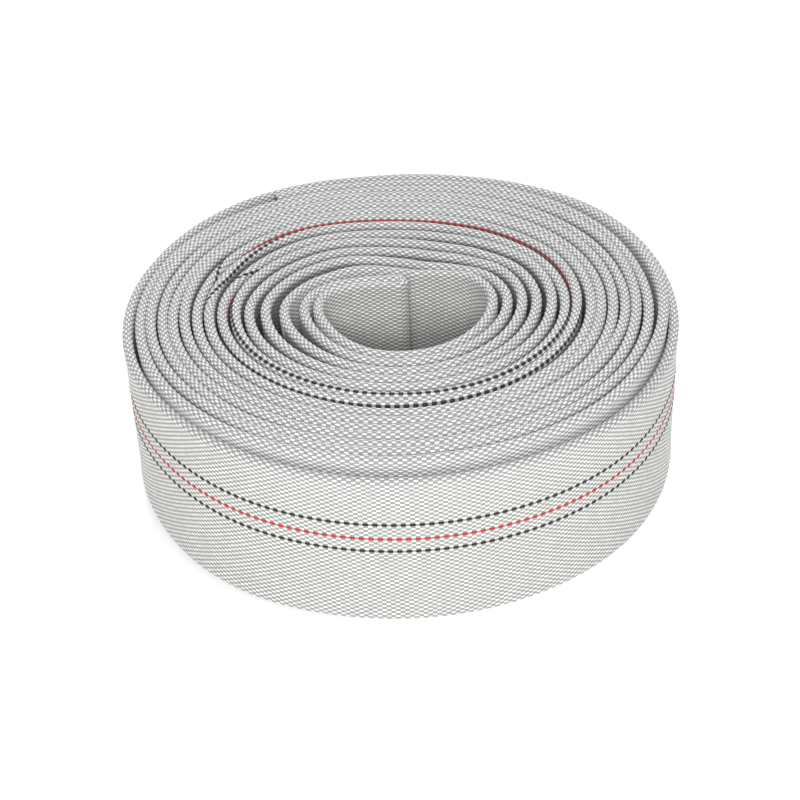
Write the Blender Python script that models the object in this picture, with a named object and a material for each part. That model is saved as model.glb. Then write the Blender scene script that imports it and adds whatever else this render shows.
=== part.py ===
"""A lay-flat fire hose wound up as a double roll and standing on its edge.

The hose is folded near the middle of its length. The fold sits in the eye of the roll, and the
two strands that leave it, the outer and the inner one, are wound together around the eye. Three
marker yarns run along one face of the woven jacket, and a thin lining lies flat inside it.

Metres, +Z up. The roll stands on z = 0 and its footprint is centred on the origin.
"""

import math

import bpy
import numpy as np

# --- The hose itself -------------------------------------------------------------------------
FLAT_WIDTH = 0.100          # the flattened hose, edge to edge
THICKNESS = 0.0056          # two walls of jacket and lining, pressed flat
EDGE_FACET = 0.0013         # half width of the flat along each folded edge
EDGE_CHAMFER = 0.0024       # how far down the face the folded edge reaches
JACKET_WALL = 0.0016
EDGE_WALL = 0.0035          # the jacket is bunched up where it folds over
LINING_WALL = 0.0006
CONTACT_GAP = 0.0003        # left between pieces that touch
YARN_WIDTH = 0.0020
YARN_HEIGHT = 0.0004
YARN_SPACING = 0.0091       # between neighbouring marker yarns
YARN_GAP = 0.00025

# --- How it is rolled ------------------------------------------------------------------------
EYE_RADIUS = 0.0588         # from the axis to the middle of the first pair of strands
PAIR_PITCH = 0.0150         # radial growth of the pair for each turn
STRAND_OFFSET = 0.00345     # from the middle of the pair to the middle of a strand
OUTER_TURNS = 7.83          # turns of the outer strand
INNER_TURNS = 6.83          # turns of the inner strand, which ends first
STEP_IN = 0.0075            # the outer strand closes up over the end of the inner one
STEP_TURNS = 0.14
CORE_LIFT = 0.0090          # the core stands this much prouder than the outermost turn
EYE_LIFT = 0.0045           # and the strands round the eye stand this much prouder
LIFT_DROP = (6.66, 7.00)    # turns over which the outer strand comes down to the ground
STATIONS_PER_TURN = 32      # on the outermost turns, and half as many on those they cover
OUTERMOST_TURNS = 5.83      # turns of a strand from which it counts as outermost

# --- The fold in the eye ---------------------------------------------------------------------
FOLD_POINT = (-0.001, 0.0288)
FOLD_RADIUS = 0.0046        # of the strand's middle, round the fold
FOLD_LENGTH = 0.012         # over which the strands close up behind the fold
PANEL_REACH = 0.058         # how straight the strands leave the fold
TIP_REACH = 0.018           # how long they take to bend into the first turn
SPIRAL_START = 0.02         # turns at which the first turn becomes round
PANEL_STATIONS = 12
FOLD_STATIONS = 8

# --- Depth of the middle marker yarn below the upper edge, on the marked face ----------------
YARN_DEPTH_FOLD = 0.074
YARN_DEPTH_CORE = 0.020
YARN_DEPTH_OUTSIDE = 0.041
YARN_CORE_TURNS = 3.2
YARN_SETTLED_TURNS = 6.0


def smooth(x):
    """0 below x = 0, 1 above x = 1, and an even slope in between."""
    x = min(max(x, 0.0), 1.0)
    return x * x * (3.0 - 2.0 * x)


def mix(a, b, share):
    return a + (b - a) * share


def spiral_point(turns):
    """Middle of the pair on its round stretch, and the way it runs outwards."""
    angle = math.pi + 2.0 * math.pi * turns
    radius = EYE_RADIUS + PAIR_PITCH * turns
    radial = np.array([math.cos(angle), math.sin(angle)])
    around = np.array([-radial[1], radial[0]])
    run = radial * PAIR_PITCH + around * radius * 2.0 * math.pi
    return radial * radius, run / np.linalg.norm(run)


def panel_point(share):
    """Middle of the pair from the fold (0) round the left tip to the first turn (1)."""
    fold = np.array(FOLD_POINT)
    meet, run = spiral_point(SPIRAL_START)
    hulls = [fold, fold + [-PANEL_REACH, 0.0], meet - TIP_REACH * run, meet]
    rest = 1.0 - share
    weights = [rest ** 3, 3 * rest ** 2 * share, 3 * rest * share ** 2, share ** 3]
    slopes = [rest ** 2, 2 * rest * share, share ** 2]
    point = sum(w * h for w, h in zip(weights, hulls))
    run = sum(w * (b - a) for w, a, b in zip(slopes, hulls, hulls[1:]))
    return point, run / np.linalg.norm(run)


def outward_side(run):
    """The side of the pair that faces away from the eye."""
    return np.array([run[1], -run[0]])


def lift(turns, outer):
    """Height of the hose's lower edge above the ground."""
    height = mix(EYE_LIFT, CORE_LIFT, smooth(turns / 2.5))
    if outer:
        start, end = LIFT_DROP
        height *= 1.0 - smooth((turns - start) / (end - start))
    return height


def yarn_depth(turns):
    """Depth of the middle marker yarn, which wanders as the hose is laid down."""
    if turns < YARN_CORE_TURNS:
        return mix(YARN_DEPTH_FOLD, YARN_DEPTH_CORE, smooth(turns / YARN_CORE_TURNS))
    share = smooth((turns - YARN_CORE_TURNS) / (YARN_SETTLED_TURNS - YARN_CORE_TURNS))
    return mix(YARN_DEPTH_CORE, YARN_DEPTH_OUTSIDE, share)


def station_turns(last):
    """Turns at which the round stretch of a strand has its stations.

    Every turn has them at the same angles, so that neighbouring turns keep their distance.
    """
    marks = [SPIRAL_START]
    for step in range(1, int(last * STATIONS_PER_TURN) + 1):
        turns = step / STATIONS_PER_TURN
        if step % 2 == 0 or turns > OUTERMOST_TURNS:
            marks.append(turns)
    return marks + [last]


def strand_stations(outer):
    """Stations of one strand from the fold outwards: point, outward side, turns."""
    sign = 1.0 if outer else -1.0
    stations = []
    for i in range(PANEL_STATIONS):
        share = i / PANEL_STATIONS
        point, run = panel_point(share)
        reach = np.linalg.norm(point - FOLD_POINT) / FOLD_LENGTH
        offset = mix(STRAND_OFFSET, FOLD_RADIUS, math.exp(-reach * reach))
        side = outward_side(run)
        stations.append((point + sign * offset * side, side, 0.0))
    last = OUTER_TURNS if outer else INNER_TURNS
    for turns in station_turns(last):
        point, run = spiral_point(turns)
        offset = STRAND_OFFSET
        if outer:
            offset -= STEP_IN * smooth((turns - INNER_TURNS) / STEP_TURNS)
        side = outward_side(run)
        stations.append((point + sign * offset * side, side, turns))
    return stations


def hose_stations():
    """Stations of the whole hose, from its outer end, through the fold, to its inner end.

    Each is (point, side of the marked face, height of the lower edge, yarn depth).
    """
    outer = strand_stations(True)
    inner = strand_stations(False)
    stations = []
    for point, side, turns in reversed(outer):
        stations.append((point, side, lift(turns, True), yarn_depth(turns)))
    fold = np.array(FOLD_POINT)
    for i in range(1, FOLD_STATIONS):
        angle = math.pi / 2 - math.pi * i / FOLD_STATIONS
        side = np.array([math.cos(angle), math.sin(angle)])
        point = fold + FOLD_RADIUS * side
        stations.append((point, side, lift(0.0, True), yarn_depth(0.0)))
    for point, side, turns in inner:
        stations.append((point, -side, lift(turns, False), yarn_depth(turns)))
    return stations


def centred(stations):
    """The same stations, moved so that the roll's footprint is centred on the origin."""
    rims = [point + s * side * THICKNESS / 2 for point, side, _, _ in stations for s in (-1, 1)]
    middle = (np.min(rims, axis=0) + np.max(rims, axis=0)) / 2
    return [(point - middle, side, height, depth) for point, side, height, depth in stations]


def jacket_outline():
    half, face = FLAT_WIDTH / 2, THICKNESS / 2
    side = [(EDGE_FACET, -half), (face, -half + EDGE_CHAMFER),
            (face, half - EDGE_CHAMFER), (EDGE_FACET, half)]
    return side + [(-x, z) for x, z in reversed(side)]


def flat_outline(half_thickness, half_width):
    return [(half_thickness, -half_width), (half_thickness, half_width),
            (-half_thickness, half_width), (-half_thickness, -half_width)]


def swept_rings(stations, outline_at):
    """World points of an outline carried along the hose, one ring for each station."""
    rings = []
    for point, side, height, depth in stations:
        middle = height + FLAT_WIDTH / 2
        outline = outline_at(depth)
        rings.append([(*(point + x * side), middle + z) for x, z in outline])
    return rings


def skin(rings, first, flip):
    """Quads between neighbouring rings whose vertices are numbered from first on."""
    count = len(rings[0])
    faces = []
    for i in range(len(rings) - 1):
        for j in range(count):
            k = (j + 1) % count
            a = first + i * count
            b = a + count
            quad = (a + j, a + k, b + k, b + j)
            faces.append(quad[::-1] if flip else quad)
    return faces


def make_object(name, points, faces, material):
    mesh = bpy.data.meshes.new(name)
    mesh.from_pydata(points, [], faces)
    mesh.materials.append(material)
    mesh.shade_smooth()
    mesh.set_sharp_from_angle(angle=math.radians(35))
    body = bpy.data.objects.new(name, mesh)
    bpy.context.scene.collection.objects.link(body)
    return body


def make_tube(name, stations, outside, inside, material):
    """A flat tube, open at both ends: an outer skin, an inner skin and a rim at each end."""
    outer = swept_rings(stations, lambda depth: outside)
    inner = swept_rings(stations, lambda depth: inside)
    points = [p for ring in outer + inner for p in ring]
    start_of_inner = len(outer) * len(outside)
    faces = skin(outer, 0, False) + skin(inner, start_of_inner, True)
    for end, flip in ((0, True), (len(stations) - 1, False)):
        rim = end_rim(outside, inside)
        a, b = end * len(outside), start_of_inner + end * len(inside)
        for face in rim:
            face = [a + i if which == 0 else b + i for which, i in face]
            faces.append(face[::-1] if flip else face)
    return make_object(name, points, faces, material)


def end_rim(outside, inside):
    """Faces that close the wall at a cut end, as (0 outside or 1 inside, index) corners.

    Both outlines start at their lower corner on the marked side. The rim is cut in four: a
    strip along each face and a cap round each folded edge.
    """
    if len(outside) == 4:
        return [[(0, i), (0, (i + 1) % 4), (1, (i + 1) % 4), (1, i)] for i in range(4)]
    marked = [(0, 1), (0, 2), (1, 1), (1, 0)]
    upper = [(0, 2), (0, 3), (0, 4), (0, 5), (1, 2), (1, 1)]
    plain = [(0, 5), (0, 6), (1, 3), (1, 2)]
    lower = [(0, 6), (0, 7), (0, 0), (0, 1), (1, 0), (1, 3)]
    return [marked, upper, plain, lower]


def make_yarn(name, stations, shift, material):
    """A marker yarn lying on the jacket's marked face, shift below the middle one."""
    foot = THICKNESS / 2 + YARN_GAP
    top = foot + YARN_HEIGHT

    def outline_at(depth):
        z = FLAT_WIDTH / 2 - depth - shift
        return [(foot, z - YARN_WIDTH / 2), (top, z), (foot, z + YARN_WIDTH / 2)]

    rings = swept_rings(stations, outline_at)
    points = [p for ring in rings for p in ring]
    last = 3 * (len(rings) - 1)
    caps = [(2, 1, 0), (last, last + 1, last + 2)]
    return make_object(name, points, skin(rings, 0, False) + caps, material)


def make_material(name, colour, roughness):
    material = bpy.data.materials.new(name)
    material.use_nodes = True
    shader = material.node_tree.nodes["Principled BSDF"]
    shader.inputs["Base Color"].default_value = (*colour, 1.0)
    shader.inputs["Roughness"].default_value = roughness
    shader.inputs["Metallic"].default_value = 0.0
    material.diffuse_color = (*colour, 1.0)
    return material


def main():
    for old in list(bpy.data.objects):
        bpy.data.objects.remove(old, do_unlink=True)
    stations = centred(hose_stations())

    woven = make_material("woven_jacket", (0.80, 0.81, 0.79), 0.75)
    rubber = make_material("hose_lining", (0.06, 0.06, 0.065), 0.55)
    black = make_material("black_yarn", (0.015, 0.015, 0.017), 0.7)
    red = make_material("red_yarn", (0.55, 0.03, 0.03), 0.65)

    half_slot = THICKNESS / 2 - JACKET_WALL
    half_height = FLAT_WIDTH / 2 - EDGE_WALL
    cavity = flat_outline(half_slot, half_height)
    make_tube("jacket", stations, jacket_outline(), cavity, woven)

    lining = flat_outline(half_slot - CONTACT_GAP, half_height - CONTACT_GAP)
    bore = flat_outline(half_slot - CONTACT_GAP - LINING_WALL,
                        half_height - CONTACT_GAP - LINING_WALL)
    make_tube("lining", stations, lining, bore, rubber)

    make_yarn("marker_yarn_upper", stations, -YARN_SPACING, black)
    make_yarn("marker_yarn_middle", stations, 0.0, red)
    make_yarn("marker_yarn_lower", stations, YARN_SPACING, black)


main()
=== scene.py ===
"""The looks of a rolled lay-flat fire hose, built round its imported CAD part."""

import math

import bpy
import numpy as np
from mathutils import Matrix, Vector


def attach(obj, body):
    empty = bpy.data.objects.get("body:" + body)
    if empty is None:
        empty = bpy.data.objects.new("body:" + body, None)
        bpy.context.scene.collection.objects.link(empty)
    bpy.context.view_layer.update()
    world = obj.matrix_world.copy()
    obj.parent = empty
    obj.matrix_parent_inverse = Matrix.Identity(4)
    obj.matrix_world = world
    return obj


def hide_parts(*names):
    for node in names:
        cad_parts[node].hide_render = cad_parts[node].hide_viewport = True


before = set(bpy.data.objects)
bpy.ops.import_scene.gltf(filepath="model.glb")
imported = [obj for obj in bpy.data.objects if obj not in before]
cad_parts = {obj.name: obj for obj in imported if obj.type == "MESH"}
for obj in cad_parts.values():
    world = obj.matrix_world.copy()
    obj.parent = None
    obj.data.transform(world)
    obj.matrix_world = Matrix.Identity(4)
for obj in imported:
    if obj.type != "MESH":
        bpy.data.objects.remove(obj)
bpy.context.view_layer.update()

# --- The hose, in metres ---------------------------------------------------------------------
WIDTH = 0.0975              # flattened, edge to edge
THICKNESS = 0.0046          # pressed flat, between the edges
EDGE_THICKNESS = 0.0055     # where the jacket folds over
EDGE_REACH = 0.012          # from that edge to where it is pressed flat
WARP_PITCH = 0.00140        # between neighbouring warp yarns
FLOAT_PERIOD = 0.00506      # one warp yarn's float and the gap after it
RELIEF = 0.00042            # height of a float over the gaps
MARKER_RELIEF = 0.35        # share of it under a marker yarn
WEFT_HEIGHT = 0.25          # share of it that the weft in the gaps rises to
# How a yarn comes up and goes down again: what is added to a cosine, and what it's divided by.
FLOAT_SHAPE, MARKER_SHAPE = (0.55, 1.2), (0.70, 0.70)
JACKET_WALL = 0.0012
LINING_MARGIN = 0.0045      # how much narrower the lining tube is
LINING_FULLNESS = 0.30      # its thickness as a share of the hose's

# --- The roll --------------------------------------------------------------------------------
# The hose is folded in half and rolled up from the fold, so it runs round in two strands. A
# place on a strand is given by its turns from the fold. Layers count both strands outwards.
OUTER_TURNS = 7.83
INNER_TURNS = 6.83
SPIRAL_START = 0.03         # where the panel across the eye runs into the spiral
EYE_END = 1.06              # the inner strand lines the eye up to here
OUTERMOST_START = 6.75      # from about here on the outer strand has no turn outside it
STEP_TURNS = 0.12           # past the inner end, the outermost turn moves in by a layer
# Radius of each layer, in mm: the layers lie wider apart round the eye and at the outside.
LAYER_RADIUS = ((0, 54.0), (1, 62.3), (3, 79.6), (5, 96.6), (8, 119.6), (13, 151.8),
                (14, 160.3), (15, 167.0), (16, 173.4))
# How far the strands by the fold and the innermost layers are pushed in, at the left tip of
# the eye and at the back, in mm, by degrees round the roll.
DENT = ((0, 2), (11, 4), (27, 9), (40, 19), (65, 29.5), (92, 28), (119, 21), (141, 17),
        (160, 9), (180, 0), (270, 0), (360, 2))
TIP_DENT = ((0, 0), (150, 4), (180, 8), (215, 7), (255, 0), (360, 0))
DENT_SHARE = ((1.5, 1.0), (7.5, 0.22), (14.5, 0.0))     # of DENT, by layer
TIP_LAYERS = (1.0, 3.5)     # TIP_DENT fades out over these, and BULGE grows over the next ones
BULGE_LAYERS = (7.0, 14.0)
# The turns aren't quite concentric: the middle of the inner ones, of the outer ones, and the
# layers over which it moves.
INNER_MIDDLE, OUTER_MIDDLE, MIDDLE_LAYERS = (-0.0030, -0.0005), (-0.0042, -0.0005), (7.0, 10.0)
# By degrees round the roll: height of the core's lower edge and outward bulge of the outer
# turns, in mm. 0 is to the right and 270 to the front.
CORE_LIFT = ((0, 10.8), (45, 11.8), (90, 7.5), (135, 13.5), (180, 13.0), (225, 12.5),
             (270, 9.5), (315, 9.5), (360, 10.8))
BULGE = ((0, 2.5), (25, 3.5), (45, 4.0), (90, 1.0), (120, 1.0), (145, 1.5), (180, 0.0),
         (215, 1.6), (240, 3.6), (270, 3.0), (315, 4.0), (340, 3.0), (360, 2.5))
# The outermost turn has slipped down to the ground at the front: its height by turns, in mm.
OUTER_LIFT = ((6.83, 10.0), (6.95, 10.5), (7.0, 9.5), (7.06, 8.0), (7.13, 4.8), (7.2, 2.2),
              (7.26, 0.5), (7.4, 0.3), (7.5, 3.0), (7.6, 9.0), (7.7, 6.0), (7.83, 5.0))
# Unevenness of the core's lower edge: everywhere, and on top of it at the left and right.
UNEVEN, UNEVEN_SIDES = 0.0006, 0.0013
WAVES = ((1.0, 0.5), (1.73, 0.35), (2.91, 0.25), (4.7, 0.12))   # rate and height of its parts
LEAN = math.radians(0.8)    # the strands lean to and fro by about this much
OUTERMOST_LEAN = 0.2        # share of that in the outermost turn
LEVEL_START = 6.6           # turns of the outer strand from which that share holds
# The outermost turn leans inwards at the front left: how far, and about which turns.
FRONT_LEAN, FRONT_TURN, FRONT_SPAN = math.radians(3.0), 7.14, 0.07
PRESSED = 0.07              # the hose is thicker by this share where the turns fill the space
PRESSED_START = 0.9         # turns from which they do
EXPOSED_TURNS = (5.85, 6.76)    # the core's turn inside the outermost one, which leaves it clear
# Lengths over which bends in the plan, the height and the marker's track are rounded off.
PLAN_SOFTNESS, HEIGHT_SOFTNESS, TRACK_SOFTNESS = 0.003, 0.06, 0.012

# --- The panel across the eye, in metres -----------------------------------------------------
FOLD_POINT = (-0.0012, 0.0225)
FOLD_RADIUS = 0.0044
FOLD_NECK = 0.010           # distance over which the strands draw together behind the fold
PANEL_APART = 0.0031        # from the panel's middle to each strand's, past the neck
PANEL_REACH = 0.045         # how far the panel keeps its direction at the fold
TIP_REACH = 0.016           # and at the spiral

# --- The marker yarns ------------------------------------------------------------------------
# Where the red yarn lies, as turns and distance from the upper edge of the marked face.
RED_TRACK_INNER = ((0.0, 88), (1.05, 70), (2.0, 24), (2.90, 17.5), (2.93, 14), (2.965, 6.0),
                   (3.0, 5.0), (3.06, 5.2), (3.12, 6.3), (3.35, 6.7), (3.46, 6.4), (3.52, 5.0),
                   (3.6, 4.8), (3.66, 4.5), (3.75, 4.3), (3.81, 4.0), (3.87, 3.8), (3.915, 5.0),
                   (3.94, 9.8), (3.965, 15.5), (3.98, 18.0), (4.5, 24), (6.83, 42))
RED_TRACK_OUTER = ((0.0, 88), (0.9, 60), (1.8, 20), (1.9, 16.5), (1.97, 12.8), (2.25, 9.8),
                   (2.5, 13.6), (2.6, 15.5), (2.74, 15.5), (2.79, 13.6), (2.84, 12.0),
                   (2.885, 9.6), (2.93, 7.0), (2.955, 6.2), (2.985, 9.5), (3.02, 16.5),
                   (4.2, 24), (6.2, 41), (7.83, 41))
# Each marker's name, its warp row counted from the red one, and its slot.
MARKERS = (("marker_yarn_upper", -7, "black_yarn"), ("marker_yarn_middle", 0, "red_yarn"),
           ("marker_yarn_lower", 6, "black_yarn"))
MARKER_HALF_WIDTH, MARKER_HALF_DEPTH = 0.00097, 0.00040

# --- Colours ---------------------------------------------------------------------------------
FIBRES_DARKEST, FIBRES_LIGHTEST = (0.68, 0.685, 0.67), (0.85, 0.85, 0.835)
# The weft in the gaps, darkened with painted shade.
GAP_COLOUR = (0.29, 0.293, 0.287)
EDGE_TINT, FACE_TINT = (0.935, 0.94, 0.965), (1.0, 1.0, 0.978)
# Painted shade below the edges: the depth where it starts, where it is full, and its tint.
CORE_PAINTED_SHADE = (0.0029, 0.0062, (0.31, 0.31, 0.33))
EYE_PAINTED_SHADE = (0.014, 0.050, (0.56, 0.56, 0.55))
# This keeps the painted shade off the exposed face.
EXPOSED_FACE_DEPTH = 0.0026        # an exposed face counts as no deeper than this
YARN_COLOURS = {"white_yarn": (0.62, 0.62, 0.61), "black_yarn": (0.005, 0.005, 0.006),
                "red_yarn": (0.40, 0.011, 0.014)}
LINING_COLOURS = (0.035, 0.035, 0.038), (0.07, 0.07, 0.075)

# --- Mesh density, in metres -----------------------------------------------------------------
STATION_STEP, ROW_STEP = 0.00068, 0.00033               # along the hose, and round it
LINING_STEP = 0.006
MOUTH_STATIONS = 30         # how far the wall's inside is modelled at the outer end
# The finely divided part of the section, from the plain face over the upper edge to the marked
# one, for the outer strand and for the inner one, which is turned the other way.
OUTER_FINE, INNER_FINE = (-0.007, 0.009), (-0.009, 0.007)

# --- Light: name, place, size, power and target -----------------------------------------------
LIGHTS = (("key", (-0.04, -1.42, 1.02), 0.5, 25.5, (0, 0, 0.05)),
          ("fill", (0.4, 0.0, 1.9), 1.2, 8.0, (0, 0, 0.05)),
          ("floor_behind", (0.0, 2.6, 2.0), 1.6, 75.0, (0, 2.0, 0)))
WORLD_STRENGTH = 0.29
FLOOR_GLOW = 0.18           # a little light of the floor's own, so that it stays white
SEED = 7


def smooth(x):
    """0 below 0, 1 above 1, and an even rise between."""
    x = np.clip(x, 0.0, 1.0)
    return x * x * (3.0 - 2.0 * x)


def rise(x, low, high):
    """0 below the low value, 1 above the high one, and an even rise between."""
    return smooth((x - low) / (high - low))


def mix(a, b, share):
    return a + (b - a) * share


def by_angle(table, angle):
    """A smoothed table of degrees and millimetres, read at angles in radians, in metres."""
    degrees = np.arange(-30.0, 391.0)
    kernel = np.hanning(27)
    values = np.interp(np.mod(degrees, 360), *zip(*table))
    values = np.convolve(values, kernel / kernel.sum(), "same")
    return np.interp(np.degrees(np.mod(angle, 2 * math.pi)), degrees, values) / 1000


def strand_radius(layer, angle):
    """Distance from the axis to the middle of a strand, by its place among the layers."""
    radius = np.interp(layer, *zip(*LAYER_RADIUS)) / 1000
    dent = np.interp(layer, *zip(*DENT_SHARE))
    tip = np.interp(layer, TIP_LAYERS, (1, 0))
    bulge = rise(layer, *BULGE_LAYERS)
    radius = radius - by_angle(DENT, angle) * dent - by_angle(TIP_DENT, angle) * tip
    return radius + by_angle(BULGE, angle) * bulge


def axis_at(layer):
    """Middle of the turn that a layer belongs to."""
    share = rise(layer, *MIDDLE_LAYERS)[:, None]
    return mix(np.array(INNER_MIDDLE), np.array(OUTER_MIDDLE), share)


def wander(x, seed, wavelength):
    """A gentle irregular wave of about unit height."""
    shift = np.random.default_rng(seed).uniform(0, 2 * math.pi, len(WAVES))
    total = 0.0
    for (rate, height), start in zip(WAVES, shift):
        total = total + height * np.sin(2 * math.pi * x * rate / wavelength + start)
    return total


# --- The way the hose runs -------------------------------------------------------------------
def round_stretch(outer):
    """Fine points of one strand's spiral: turns and plan position."""
    last = OUTER_TURNS if outer else INNER_TURNS
    turns = np.arange(SPIRAL_START, last, 1 / 2000)
    layer = 2 * turns + (1.0 if outer else 0.0)
    if outer:
        layer = layer - smooth((turns - INNER_TURNS) / STEP_TURNS)
    angle = math.pi + 2 * math.pi * turns
    radius = strand_radius(layer, angle)
    points = axis_at(layer) + radius[:, None] * np.stack([np.cos(angle), np.sin(angle)], -1)
    return turns, points


def bezier(handles, share):
    """Points of a cubic curve at shares of it from 0 to 1."""
    share = share[:, None]
    rest = 1 - share
    a, b, c, d = (np.array(handle) for handle in handles)
    return rest ** 3 * a + 3 * rest ** 2 * share * b + 3 * rest * share ** 2 * c + share ** 3 * d


def panel_stretch(outer, start):
    """Fine points of one strand from the fold to the start of its spiral.

    The start is the middle between the two strands there, their direction and their distance.
    """
    share = np.linspace(0, 1, 400, endpoint=False)
    middle, forward, gap = start
    line = bezier([FOLD_POINT, np.array(FOLD_POINT) + [-PANEL_REACH, 0.001],
                   middle - TIP_REACH * forward, middle], share)
    run = np.gradient(line, axis=0)
    run /= np.linalg.norm(run, axis=1)[:, None]
    side = np.stack([run[:, 1], -run[:, 0]], -1)
    reach = np.linalg.norm(line - FOLD_POINT, axis=1)
    close = mix(PANEL_APART, FOLD_RADIUS, np.exp(-(reach / FOLD_NECK) ** 2))
    apart = mix(close, gap / 2, smooth((share - 0.45) / 0.5))
    return line + (1 if outer else -1) * apart[:, None] * side


def hose_line():
    """The whole hose from its outer end, through the fold, to its inner end.

    Returns fine plan points with, for each, the strand (1 outer, 0 inner) and its turns.
    """
    t_out, p_out = round_stretch(True)
    t_in, p_in = round_stretch(False)
    middle = (p_out[0] + p_in[0]) / 2
    run = (p_out[5] + p_in[5]) / 2 - middle
    run /= np.linalg.norm(run)
    gap = np.linalg.norm(p_out[0] - p_in[0])
    panel_out = panel_stretch(True, (middle, run, gap))
    panel_in = panel_stretch(False, (middle, run, gap))
    angle = np.linspace(math.pi / 2, -math.pi / 2, 42)[1:-1]
    loop = np.array(FOLD_POINT) + FOLD_RADIUS * np.stack([np.cos(angle), np.sin(angle)], -1)
    n, m = len(panel_out), len(loop)
    points = np.concatenate([p_out[::-1], panel_out[::-1], loop, panel_in, p_in])
    strand = np.concatenate([np.ones(len(p_out) + n), np.linspace(1, 0, m),
                             np.zeros(n + len(p_in))])
    turns = np.concatenate([t_out[::-1], np.linspace(t_out[0], 0, n), np.zeros(m),
                            np.linspace(0, t_in[0], n), t_in])
    return points, strand, turns


def red_track(strand, turns):
    """Distance of the red yarn from the hose's upper edge."""
    inner = np.interp(turns, *zip(*RED_TRACK_INNER))
    outer = np.interp(turns, *zip(*RED_TRACK_OUTER))
    return mix(inner, outer, np.round(strand)) / 1000


def lower_edge(strand, turns, angle):
    """Height of the hose's lower edge above the ground."""
    uneven = UNEVEN + UNEVEN_SIDES * np.abs(np.cos(angle)) ** 3
    core = by_angle(CORE_LIFT, angle) + uneven * wander(turns + 3 * np.round(strand), SEED, 0.9)
    outermost = np.interp(turns, *zip(*OUTER_LIFT)) / 1000
    return np.where((strand > 0.5) & (turns > INNER_TURNS), outermost, core)


class Line:
    """The hose's middle line, evenly spaced, with all that varies along it."""

    def __init__(self, spacing):
        points, strand, turns = hose_line()
        steps = np.linalg.norm(np.diff(points, axis=0), axis=1)
        along = np.concatenate([[0], np.cumsum(steps)])
        self.length = along[-1]
        self.along = np.arange(0, self.length, spacing)

        def at(values):
            return np.interp(self.along, along, values)

        def softened(values, width):
            count = max(1, int(width / spacing))
            kernel = np.hanning(2 * count + 1)
            padded = np.pad(values, count, mode="reflect", reflect_type="odd")
            return np.convolve(padded, kernel / kernel.sum(), "valid")

        self.points = np.stack([softened(at(points[:, 0]), PLAN_SOFTNESS),
                                softened(at(points[:, 1]), PLAN_SOFTNESS)], -1)
        run = np.gradient(self.points, axis=0)
        run /= np.linalg.norm(run, axis=1)[:, None]
        self.side = np.stack([-run[:, 1], run[:, 0]], -1)
        self.strand = at(strand)
        self.turns = at(turns)
        angle = np.mod(np.arctan2(self.points[:, 1], self.points[:, 0]), 2 * math.pi)
        self.lower = softened(lower_edge(self.strand, self.turns, angle), HEIGHT_SOFTNESS)
        self.track = softened(red_track(self.strand, self.turns), TRACK_SOFTNESS)
        is_outer = self.strand > 0.5
        outermost = is_outer & (self.turns > LEVEL_START)
        self.lean = LEAN * wander(self.along, SEED + 5, 0.37)
        self.lean = self.lean * np.where(outermost, OUTERMOST_LEAN, 1.0)
        inwards = -np.sign((self.points * self.side).sum(1))
        front = FRONT_LEAN * np.exp(-((self.turns - FRONT_TURN) / FRONT_SPAN) ** 2)
        self.lean = self.lean + np.where(outermost, inwards * front, 0.0)
        # Where the turns press together at the front and the back they fill the space.
        pressed = PRESSED * (1 - np.abs(np.cos(angle)) ** 1.5)
        self.plump = 1.0 + np.where(outermost | (self.turns < PRESSED_START), 0.0, pressed)
        above, below = EXPOSED_TURNS
        self.exposed = is_outer & (self.turns > above) & (self.turns < below)

    def place(self, x, z, part=slice(None)):
        """World points from distances out of the marked face and up from the hose's middle.

        They hold a row for each station in a part of the line, or one row that serves for all.
        """
        x = x + z * np.tan(self.lean[part])[:, None]
        z = (self.lower[part] + WIDTH / 2)[:, None] + z
        plan = self.points[part][:, None] + x[..., None] * self.side[part][:, None]
        return np.concatenate([plan, z[..., None]], -1)


# --- The hose's cross-section ----------------------------------------------------------------
QUARTER = math.pi * EDGE_THICKNESS / 4                  # round a folded edge to the flat face
HALF_ROUND = WIDTH - EDGE_THICKNESS + 2 * QUARTER       # half of the distance round the hose


def section(c):
    """Point and outward direction of the section at a distance c from its upper edge.

    Positive c goes down the marked face and negative c down the plain one.
    """
    d = np.abs(c)
    r = EDGE_THICKNESS / 2
    flat = WIDTH - EDGE_THICKNESS
    turn = np.where(d < QUARTER, d / r, np.where(d < QUARTER + flat, math.pi / 2,
                                                 math.pi / 2 + (d - QUARTER - flat) / r))
    below = np.clip(d - QUARTER, 0, flat)
    z = WIDTH / 2 - r + r * np.cos(turn) - below
    pressed = smooth(np.minimum(below, flat - below) / EDGE_REACH)
    x = r * np.sin(turn) - (EDGE_THICKNESS - THICKNESS) / 2 * pressed
    point = np.stack([x * np.sign(c), z], -1)
    return point, np.stack([np.sin(turn) * np.sign(c), np.cos(turn)], -1)


def surfacing(along, row, shape):
    """How far the warp yarn of a row is out of the weave, 0 to 1. Neighbours take turns."""
    offset, span = shape
    phase = along / FLOAT_PERIOD + 0.5 * np.mod(row, 2)
    return smooth((np.cos(2 * math.pi * phase) + offset) / span)


def float_height(along, w):
    """Height of the woven surface, 0 to 1, at a distance w round the hose from the red yarn."""
    row = w / WARP_PITCH + 0.5
    index = np.floor(row)
    across = 2 * (row - index) - 1
    lift = surfacing(along, index, FLOAT_SHAPE)
    warp = lift * np.sqrt(np.clip(1 - (0.94 * across) ** 2, 0, 1))
    weft = WEFT_HEIGHT * (1 - lift)
    marker = np.isin(index, [marked for _, marked, _ in MARKERS])
    return np.where(marker, MARKER_RELIEF * warp, warp) + weft


def raised(line, c, height, part=slice(None)):
    """World points at places c of the section, at a height over the smooth hose."""
    flat, normal = section(c)
    x = flat[..., 0] + normal[..., 0] * height
    z = flat[..., 1] + normal[..., 1] * height
    return line.place(x * line.plump[part][:, None], z, part)


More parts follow.
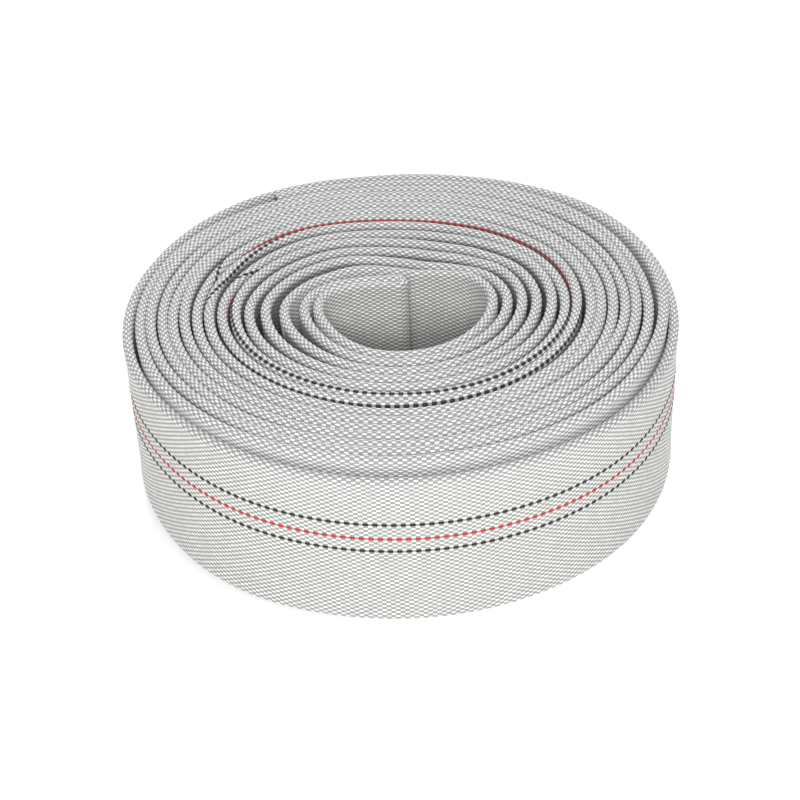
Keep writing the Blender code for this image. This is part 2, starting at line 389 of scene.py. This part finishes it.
def tube_points(line, part, c, woven=True, inset=0.0):
    """World points of the hose's surface: stations in a part of the line by places c."""
    along = line.along[part][:, None]
    height = np.zeros((len(along), len(c))) - inset
    if woven:
        height = height + RELIEF * float_height(along, c - line.track[part][:, None])
    return raised(line, c, height, part)


def grid_mesh(name, points, u, v, down=None):
    """A tube of quads over a grid of points, with a UV map in metres.

    Its "down" attribute is the distance from the hose's nearer edge.
    """
    n, m = points.shape[:2]
    ids = np.arange(n * m).reshape(n, m)
    beside = np.roll(ids, -1, axis=1)
    quads = np.stack([ids[:-1], beside[:-1], beside[1:], ids[1:]], -1).reshape(-1, 4)
    mesh = bpy.data.meshes.new(name)
    mesh.vertices.add(n * m)
    mesh.vertices.foreach_set("co", points.astype(np.float32).ravel())
    mesh.loops.add(quads.size)
    mesh.loops.foreach_set("vertex_index", quads.astype(np.int32).ravel())
    mesh.polygons.add(len(quads))
    mesh.polygons.foreach_set("loop_start", np.arange(0, quads.size, 4, dtype=np.int32))
    mesh.polygons.foreach_set("use_smooth", np.ones(len(quads), bool))
    mesh.update(calc_edges=True)
    if v.ndim == 1:
        v = np.broadcast_to(v, (n, m))
    v_beside = np.concatenate([v[:, 1:], v[:, :1] + 2 * HALF_ROUND], 1)
    u = np.broadcast_to(u[:, None], v.shape)
    uv = np.stack([np.stack(corner, -1) for corner in (
        (u[:-1], v[:-1]), (u[:-1], v_beside[:-1]), (u[1:], v_beside[1:]), (u[1:], v[1:]))], 2)
    layer = mesh.uv_layers.new(name="hose")
    layer.data.foreach_set("uv", uv.astype(np.float32).ravel())
    if down is not None:
        attribute = mesh.attributes.new("down", "FLOAT", "POINT")
        attribute.data.foreach_set("value", down.astype(np.float32).ravel())
    mesh.validate()
    body = bpy.data.objects.new(name, mesh)
    bpy.context.scene.collection.objects.link(body)
    return body


def section_places(fine_from, fine_to, fine_step):
    """Places round the section: close together from one to another, and wide elsewhere.

    The hidden lower edge gets a few of its own, so that it stays round.
    """
    near_edge = HALF_ROUND - 0.01
    lower_edge_places = HALF_ROUND - np.array([0.0055, 0.0035, 0.0015])

    def onwards(start, sign):
        """Ever wider places from the start to the lower edge, on one face."""
        if sign * start >= near_edge:
            return []
        places, step, here = [], fine_step, start
        while True:
            step = min(step * 1.6, 0.012)
            here += step * sign
            if abs(here) >= near_edge:
                return places + list(sign * lower_edge_places)
            places.append(here)

    fine = list(np.arange(fine_from, fine_to, fine_step))
    return np.array(sorted(fine + onwards(fine_to, 1) + onwards(fine_from, -1)))


# --- Materials -------------------------------------------------------------------------------
class Nodes:
    """Shorthand for building a material's node tree."""

    def __init__(self, name):
        self.material = bpy.data.materials.new(name)
        self.material.use_nodes = True
        self.tree = self.material.node_tree
        self.shader = self.tree.nodes["Principled BSDF"]

    def link(self, value, socket):
        """Feeds a node's output, or a plain value, to a socket."""
        if isinstance(value, bpy.types.NodeSocket):
            self.tree.links.new(value, socket)
        else:
            socket.default_value = value

    def math(self, operation, *values):
        node = self.tree.nodes.new("ShaderNodeMath")
        node.operation = operation
        for value, socket in zip(values, node.inputs):
            self.link(value, socket)
        return node.outputs[0]

    def ramp(self, value, low, high, to_low=0.0, to_high=1.0):
        """A smooth change from one value to another as the first value goes from low to high."""
        node = self.tree.nodes.new("ShaderNodeMapRange")
        node.interpolation_type = "SMOOTHSTEP"
        for socket, v in zip(("Value", "From Min", "From Max", "To Min", "To Max"),
                             (value, low, high, to_low, to_high)):
            self.link(v, node.inputs[socket])
        return node.outputs["Result"]

    def mix_colour(self, share, a, b, blend="MIX"):
        node = self.tree.nodes.new("ShaderNodeMix")
        node.data_type = "RGBA"
        node.blend_type = blend
        self.link(share, node.inputs[0])
        self.link((*a, 1.0) if isinstance(a, tuple) else a, node.inputs[6])
        self.link((*b, 1.0) if isinstance(b, tuple) else b, node.inputs[7])
        return node.outputs[2]

    def noise(self, scale, detail=2.0):
        node = self.tree.nodes.new("ShaderNodeTexNoise")
        node.inputs["Scale"].default_value = scale
        node.inputs["Detail"].default_value = detail
        places = self.tree.nodes.new("ShaderNodeTexCoord")
        self.link(places.outputs["Object"], node.inputs["Vector"])
        return node.outputs["Fac"]

    def surface(self, colour, roughness, sheen=0.0):
        self.link(colour, self.shader.inputs["Base Color"])
        self.link(roughness, self.shader.inputs["Roughness"])
        self.shader.inputs["Sheen Weight"].default_value = sheen


def woven_material(name, painted_shade=None):
    """The white weave, with the same floats as the modelled relief. Painted shade is given as for
    the core.
    """
    n = Nodes(name)
    uv = n.tree.nodes.new("ShaderNodeUVMap")
    uv.uv_map = "hose"
    split = n.tree.nodes.new("ShaderNodeSeparateXYZ")
    n.link(uv.outputs[0], split.inputs[0])
    along, w = split.outputs[0], split.outputs[1]
    row = n.math("ADD", n.math("DIVIDE", w, WARP_PITCH), 0.5)
    index = n.math("FLOOR", row)
    across = n.math("SUBTRACT", n.math("MULTIPLY", n.math("SUBTRACT", row, index), 2.0), 1.0)
    odd = n.math("MULTIPLY", n.math("MODULO", n.math("ADD", index, 1000.0), 2.0), 0.5)
    phase = n.math("ADD", n.math("DIVIDE", along, FLOAT_PERIOD), odd)
    wave = n.math("COSINE", n.math("MULTIPLY", phase, 2 * math.pi))
    lift = n.ramp(wave, -0.45, 0.55)
    crown = n.math("SUBTRACT", 1.0, n.math("POWER", n.math("ABSOLUTE", across), 2.0))
    warp = n.math("MULTIPLY", lift, n.math("MAXIMUM", crown, 0.0))
    # Gaps between the floats show the weft in painted shade, and no two floats are quite alike.
    each = n.tree.nodes.new("ShaderNodeCombineXYZ")
    n.link(index, each.inputs[0])
    n.link(n.math("FLOOR", n.math("ADD", phase, 0.5)), each.inputs[1])
    chance = n.tree.nodes.new("ShaderNodeTexWhiteNoise")
    chance.noise_dimensions = "2D"
    n.link(each.outputs[0], chance.inputs["Vector"])
    fibres = n.mix_colour(chance.outputs["Value"], FIBRES_DARKEST, FIBRES_LIGHTEST)
    shade = n.mix_colour(n.ramp(warp, 0.12, 0.70), GAP_COLOUR, fibres)
    # The folded edges are a little bluer, and shade is painted deeper below the edges.
    down = n.tree.nodes.new("ShaderNodeAttribute")
    down.attribute_name = "down"
    broad = n.math("MULTIPLY", n.math("SUBTRACT", n.noise(14.0), 0.5), 0.002)
    below = n.math("ADD", down.outputs["Fac"], broad)
    tint = n.mix_colour(n.ramp(below, 0.002, 0.006), EDGE_TINT, FACE_TINT)
    if painted_shade:
        start, full, shade_tint = painted_shade
        tint = n.mix_colour(n.ramp(below, start, full), tint, shade_tint)
    n.surface(n.mix_colour(1.0, shade, tint, blend="MULTIPLY"),
              n.ramp(warp, 0.1, 0.9, 0.85, 0.55), sheen=0.15)
    n.shader.inputs["Sheen Roughness"].default_value = 0.5
    bump = n.tree.nodes.new("ShaderNodeBump")
    bump.inputs["Strength"].default_value = 0.6
    bump.inputs["Distance"].default_value = 0.0002
    n.link(warp, bump.inputs["Height"])
    n.link(bump.outputs[0], n.shader.inputs["Normal"])
    return n.material


def yarn_material(name):
    n = Nodes(name)
    fine = n.noise(900.0, 3.0)
    colour = YARN_COLOURS[name]
    pale = tuple(min(1.0, c * 1.5 + 0.008) for c in colour)
    n.surface(n.mix_colour(n.ramp(fine, 0.35, 0.75), colour, pale),
              n.ramp(fine, 0.3, 0.7, 0.6, 0.8), sheen=0.1)
    return n.material


def lining_material():
    n = Nodes("hose_lining")
    fine = n.noise(300.0, 3.0)
    n.surface(n.mix_colour(fine, *LINING_COLOURS), n.ramp(fine, 0.3, 0.7, 0.45, 0.6))
    return n.material


# --- The pieces ------------------------------------------------------------------------------
def finish_piece(body, material):
    """Gives a piece its material, and ties it to the body that it moves with."""
    body.data.materials.append(material)
    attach(body, "root")


def jacket_piece(name, line, stations, places, material, mouth=0):
    """A stretch of the jacket between two stations of the line.

    Over a mouth of some stations at its start, the wall is also modelled from inside.
    """
    first, last = stations
    part = slice(first, last)
    points = tube_points(line, part, places)
    v = places - line.track[part][:, None]
    along = line.along[part]
    edge = np.minimum(np.abs(places), HALF_ROUND - np.abs(places))
    # On the exposed face the depth is capped, so no painted shade falls there.
    deepest = np.where(line.exposed[part], EXPOSED_FACE_DEPTH, 1.0)
    down = np.minimum(edge, deepest[:, None])
    if mouth:
        inside = tube_points(line, slice(first, mouth), places, woven=False, inset=JACKET_WALL)
        points = np.concatenate([inside[::-1], points])
        v, down, along = (np.concatenate([values[:mouth][::-1], values])
                          for values in (v, down, along))
    body = grid_mesh(name, points, along, v, down)
    body.data.flip_normals()
    finish_piece(body, material)
    return body


def end_yarns(line, material):
    """Loose ends of some warp yarns at the hose's cut outer end."""
    rng = np.random.default_rng(SEED + 11)
    loose_share = 0.65
    taper = ((-0.5, 0.00045), (0.3, 0.00045), (0.7, 0.00038), (1.0, 0.00012))
    c = np.arange(-HALF_ROUND + 0.002, HALF_ROUND - 0.002, WARP_PITCH)
    c = c[rng.random(len(c)) < loose_share]
    one_each = (len(c), 1)
    base = tube_points(line, slice(0, 1), c, woven=False, inset=0.0003)[0]
    _, normal = section(c)
    side = np.append(line.side[0], 0.0)
    up = np.array([0.0, 0.0, 1.0])
    out = np.append(line.points[0] - line.points[4], 0.0)
    out /= np.linalg.norm(out)
    away = normal[:, :1] * side + normal[:, 1:] * up
    reach = rng.uniform(0.0008, 0.0034, one_each)
    curl = rng.uniform(-0.15, 0.60, one_each)
    droop = rng.uniform(-0.5, 0.3, one_each)
    turn = np.linspace(0, 2 * math.pi, 6, endpoint=False)
    rim = np.cos(turn)[:, None] * side + np.sin(turn)[:, None] * up
    rings = []
    for share, radius in taper:
        bend = max(share, 0.0) ** 2
        middle = base + reach * (share * out + bend * (curl * away + droop * up))
        rings.append(middle[:, None, :] + radius * rim)
    points = np.stack(rings, 1)
    ids = np.arange(points[..., 0].size).reshape(points.shape[:3])
    beside = np.roll(ids, -1, axis=2)
    quads = np.stack([ids[:, :-1], ids[:, 1:], beside[:, 1:], beside[:, :-1]], -1)
    mesh = bpy.data.meshes.new("jacket_end_yarns")
    mesh.from_pydata(points.reshape(-1, 3).tolist(), [], quads.reshape(-1, 4).tolist())
    body = bpy.data.objects.new("jacket_end_yarns", mesh)
    bpy.context.scene.collection.objects.link(body)
    finish_piece(body, material)
    return body


def marker_piece(name, line, row, material):
    """One marker yarn, riding over and under the weft along the whole hose."""
    lift = surfacing(line.along, row, MARKER_SHAPE)[:, None]
    height = RELIEF * (1.08 * lift - 0.75 * (1 - lift))
    rim = np.linspace(0, 2 * math.pi, 8, endpoint=False)
    c = (line.track + row * WARP_PITCH)[:, None] + MARKER_HALF_WIDTH * np.cos(rim)
    points = raised(line, c, height + MARKER_HALF_DEPTH * (np.sin(rim) - 0.6))
    body = grid_mesh(name, points, line.along, np.linspace(0, 1, len(rim), endpoint=False))
    finish_piece(body, material)
    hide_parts(name)
    body.name = name + "_woven"


def lining_piece(line, material):
    """The lining, as one tube inside the whole hose."""
    places = section_places(0, 0.001, 0.002)
    flat, _ = section(places)
    x = flat[:, 0] * LINING_FULLNESS
    z = flat[:, 1] * (1 - LINING_MARGIN / WIDTH)
    body = grid_mesh("lining_tube", line.place(x, z), line.along, places)
    body.data.flip_normals()
    finish_piece(body, material)
    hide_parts("lining")


def build_hose():
    """The jacket in four stretches, its loose end yarns, the marker yarns and the lining.

    The jacket is finely divided only where it shows: round the upper edge, all over the marked
    face of the outermost turn, and down both faces in the eye.
    """
    line = Line(STATION_STEP)
    step = ROW_STEP
    weave = woven_material("woven_jacket")
    # The core and the eye get painted shade between the turns and down in the eye.
    shaded_core = woven_material("woven_jacket_core", CORE_PAINTED_SHADE)
    eye = woven_material("woven_jacket_eye", EYE_PAINTED_SHADE)
    is_outer = line.strand > 0.5
    core_from = int(np.searchsorted(-np.where(is_outer, line.turns, -1), -OUTERMOST_START))
    inner_start = int(np.argmax(~is_outer))
    eye_to = inner_start + int(np.argmax(line.turns[inner_start:] > EYE_END))
    eye_from = int(np.argmax(line.turns < SPIRAL_START))
    loose = end_yarns(line, yarn_material("white_yarn"))
    outermost = jacket_piece("jacket_outer_turn", line, (0, core_from),
                             section_places(-0.008, HALF_ROUND, step * 1.1), weave,
                             mouth=MOUTH_STATIONS)
    jacket_piece("jacket_outer_core", line, (core_from - 1, eye_from + 1),
                 section_places(*OUTER_FINE, step), shaded_core)
    jacket_piece("jacket_eye", line, (eye_from, eye_to + 1),
                 section_places(-0.012, HALF_ROUND - 0.012, step * 1.15), eye)
    jacket_piece("jacket_inner_core", line, (eye_to, len(line.along)),
                 section_places(*INNER_FINE, step), shaded_core)
    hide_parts("jacket")
    yarns = {slot: yarn_material(slot) for slot in ("black_yarn", "red_yarn")}
    for name, row, slot in MARKERS:
        marker_piece(name, line, row, yarns[slot])
    lining_piece(Line(LINING_STEP), lining_material())


# --- Camera, floor and light -----------------------------------------------------------------
def add_camera():
    """Looks down at the roll from the front, from a little over a metre away."""
    elevation = math.radians(34.91)
    tilt = math.radians(-2.73)
    aim = Vector((-0.0025, 0.0468, 0.0))
    distance = 1.1242
    back = Vector((0, -math.cos(elevation), math.sin(elevation)))
    data = bpy.data.cameras.new("camera")
    data.sensor_width = 36.0
    data.lens = 75.9
    camera = bpy.data.objects.new("camera", data)
    bpy.context.scene.collection.objects.link(camera)
    camera.rotation_mode = "QUATERNION"
    look = (-back).to_track_quat("-Z", "Y")
    camera.rotation_quaternion = look @ Matrix.Rotation(tilt, 3, "Z").to_quaternion()
    camera.location = aim + back * distance
    bpy.context.scene.camera = camera


def add_floor():
    """A pale floor, just below the ground that the roll stands on."""
    bpy.ops.mesh.primitive_plane_add(size=12.0, location=(0, 0, -0.0002))
    floor = bpy.context.object
    floor.name = "floor"
    n = Nodes("floor")
    n.shader.inputs["Base Color"].default_value = (0.93, 0.93, 0.93, 1)
    n.shader.inputs["Roughness"].default_value = 0.9
    n.shader.inputs["Emission Color"].default_value = (1, 1, 1, 1)
    n.shader.inputs["Emission Strength"].default_value = FLOOR_GLOW
    floor.data.materials.append(n.material)


def add_area(name, location, size, power, target):
    data = bpy.data.lights.new(name, "AREA")
    data.shape = "SQUARE"
    data.size = size
    data.energy = power
    light = bpy.data.objects.new(name, data)
    bpy.context.scene.collection.objects.link(light)
    light.location = location
    direction = Vector(target) - Vector(location)
    light.rotation_mode = "QUATERNION"
    light.rotation_quaternion = direction.to_track_quat("-Z", "Y")


def add_light():
    bpy.context.scene.view_settings.view_transform = "Standard"
    world = bpy.data.worlds.new("world")
    world.use_nodes = True
    background = world.node_tree.nodes["Background"]
    background.inputs["Color"].default_value = (1, 1, 1, 1)
    background.inputs["Strength"].default_value = WORLD_STRENGTH
    bpy.context.scene.world = world
    for light in LIGHTS:
        add_area(*light)


def main():
    build_hose()
    add_floor()
    add_light()
    add_camera()


main()
